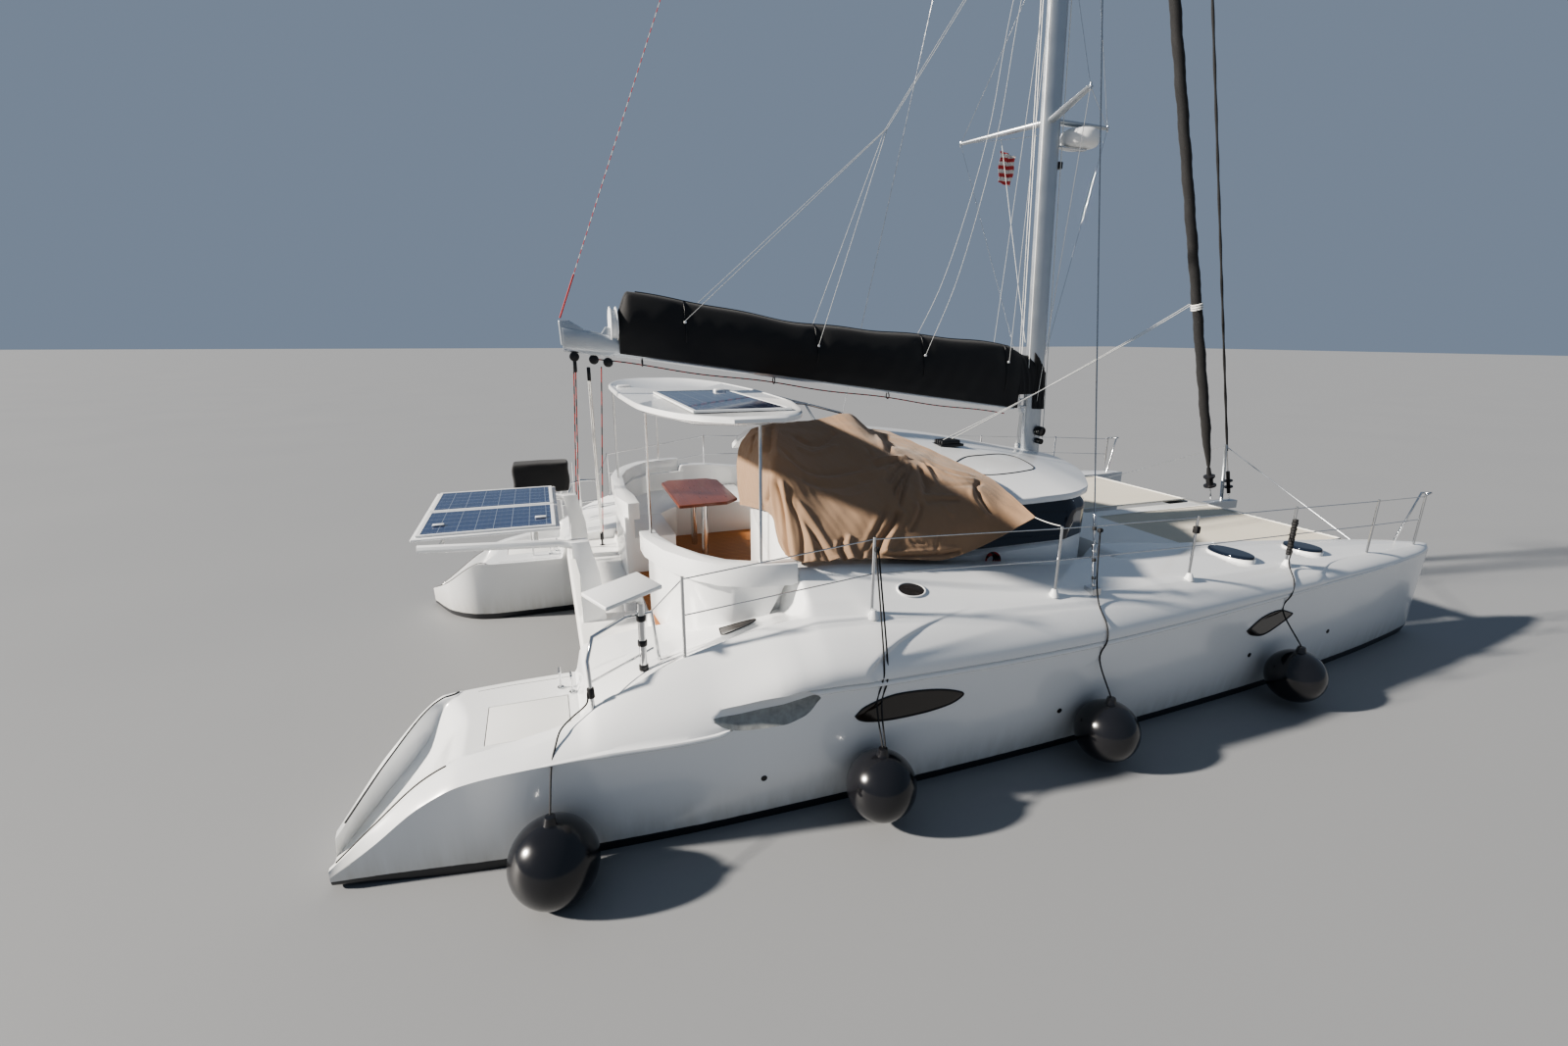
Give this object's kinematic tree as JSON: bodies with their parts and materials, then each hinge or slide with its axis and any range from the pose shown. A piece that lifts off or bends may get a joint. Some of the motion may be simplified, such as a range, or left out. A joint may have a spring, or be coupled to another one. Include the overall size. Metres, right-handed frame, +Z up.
{
  "type": "cruising sailing catamaran",
  "caption": "Cruising sailing catamaran afloat, mainsail bagged on its boom, headsail furled, with cockpit hardtop, solar panels and a canvas cover over the helm.",
  "frame": {"origin": "on the waterline plane, amidships, on the centreline", "axes": "+X to the bows, +Y to port, +Z up along the height"},
  "size_m": [11.95, 6.96, 18.15],
  "materials": {
    "gelcoat": "gloss, slightly weathered",
    "underbody": "matt paint",
    "nonskid": "fine grain",
    "teak": "oiled planks",
    "varnish": "varnished",
    "steel": "polished tube",
    "alloy": "anodised",
    "bronze": "cast",
    "engine": "painted casting",
    "tinted_glass": "tinted",
    "solar_cells": "dark cells under glass",
    "sailcloth": "black woven cover",
    "canvas": "tan woven canvas",
    "net": "cream mesh",
    "fender_skin": "gloss black",
    "white_plastic": "satin"
  },
  "bodies": {
    "boat": {"hull_port": "gelcoat", "hull_starboard": "gelcoat", "bridge_deck": "gelcoat", "saildrive_leg_port": "engine", "saildrive_leg_starboard": "engine", "engine_block_port": "engine", "engine_block_starboard": "engine", "coachroof": "gelcoat", "cabin_walls": "gelcoat", "saloon_glass_band": "tinted_glass", "aft_bulkhead": "gelcoat", "cockpit_sole_teak": "teak", "cockpit_moulding_port": "gelcoat", "cockpit_moulding_starboard": "gelcoat", "cockpit_table": "varnish", "table_legs": "steel", "helm_seat": "gelcoat", "cockpit_hardtop": "gelcoat", "hardtop_solar_panel": "solar_cells", "hardtop_frame": "steel", "aft_solar_array": "solar_cells", "davit_port": "gelcoat", "davit_starboard": "gelcoat", "crossbeam": "alloy", "centre_walkway": "gelcoat", "bow_spar_and_striker": "alloy", "trampoline_port": "net", "trampoline_starboard": "net", "mast": "alloy", "bag_front_wrap": "sailcloth", "radar_dome": "white_plastic", "furled_headsail": "sailcloth", "shroud_port": "steel", "shroud_starboard": "steel", "guard_rail_port": "steel", "guard_rail_starboard": "steel", "aerial_pole": "steel", "flat_aerial": "white_plastic", "fender_1": "fender_skin", "fender_2": "fender_skin", "fender_3": "fender_skin", "fender_4": "fender_skin", "canvas_cover": "canvas"},
    "boom_and_bag": {"boom": "alloy", "sail_bag": "sailcloth"},
    "rudder_port": {"rudder_port": "underbody"},
    "rudder_starboard": {"rudder_starboard": "underbody"},
    "propeller_port": {"propeller_port": "bronze"},
    "propeller_starboard": {"propeller_starboard": "bronze"},
    "saloon_door": {"sliding_door": "alloy", "door_pane": "tinted_glass"},
    "engine_lid_port": {"engine_lid_port": "nonskid"},
    "engine_lid_starboard": {"engine_lid_starboard": "nonskid"},
    "hatch_saloon_side_port": {"deck_hatch_saloon_side_port": "tinted_glass"},
    "hatch_saloon_side_starboard": {"deck_hatch_saloon_side_starboard": "tinted_glass"},
    "hatch_forepeak_port": {"deck_hatch_forepeak_port": "tinted_glass"},
    "hatch_forepeak_starboard": {"deck_hatch_forepeak_starboard": "tinted_glass"}
  },
  "joints": [
    {"name": "boom_swing", "type": "hinge", "parent": "boat", "child": "boom_and_bag", "pos_m": [1.555, 0, 2.82], "axis": [0, 0, 1], "range_deg": [-55, 55]},
    {"name": "rudder_port_turn", "type": "hinge", "parent": "boat", "child": "rudder_port", "pos_m": [-5, 2.39, -0.2], "axis": [0, 0, 1], "range_deg": [-35, 35]},
    {"name": "rudder_starboard_turn", "type": "hinge", "parent": "boat", "child": "rudder_starboard", "pos_m": [-5, -2.39, -0.2], "axis": [0, 0, 1], "range_deg": [-35, 35]},
    {"name": "propeller_port_spin", "type": "hinge", "parent": "boat", "child": "propeller_port", "pos_m": [-4.11, 2.4, -0.64], "axis": [1, 0, 0], "continuous": true},
    {"name": "propeller_starboard_spin", "type": "hinge", "parent": "boat", "child": "propeller_starboard", "pos_m": [-4.11, -2.4, -0.64], "axis": [1, 0, 0], "continuous": true},
    {"name": "saloon_door_slide", "type": "slide", "parent": "boat", "child": "saloon_door", "axis": [0, 1, 0], "range_m": [0, 0.7]},
    {"name": "engine_lid_port_hinge", "type": "hinge", "parent": "boat", "child": "engine_lid_port", "pos_m": [-4.35, 2.34, 0.79], "axis": [0, 1, 0], "range_deg": [0, 85]},
    {"name": "engine_lid_starboard_hinge", "type": "hinge", "parent": "boat", "child": "engine_lid_starboard", "pos_m": [-4.35, -2.34, 0.79], "axis": [0, 1, 0], "range_deg": [0, 85]},
    {"name": "hatch_saloon_side_port_hinge", "type": "hinge", "parent": "boat", "child": "hatch_saloon_side_port", "pos_m": [2.7, 2.43, 1.428], "axis": [0, 1, 0], "range_deg": [0, 80]},
    {"name": "hatch_saloon_side_starboard_hinge", "type": "hinge", "parent": "boat", "child": "hatch_saloon_side_starboard", "pos_m": [2.7, -2.43, 1.428], "axis": [0, 1, 0], "range_deg": [0, 80]},
    {"name": "hatch_forepeak_port_hinge", "type": "hinge", "parent": "boat", "child": "hatch_forepeak_port", "pos_m": [3.85, 2.42, 1.373], "axis": [0, 1, 0], "range_deg": [0, 80]},
    {"name": "hatch_forepeak_starboard_hinge", "type": "hinge", "parent": "boat", "child": "hatch_forepeak_starboard", "pos_m": [3.85, -2.42, 1.373], "axis": [0, 1, 0], "range_deg": [0, 80]}
  ],
  "couplings": [
    {"joint": "rudder_starboard_turn", "follows": "rudder_port_turn", "ratio": 1}
  ]
}
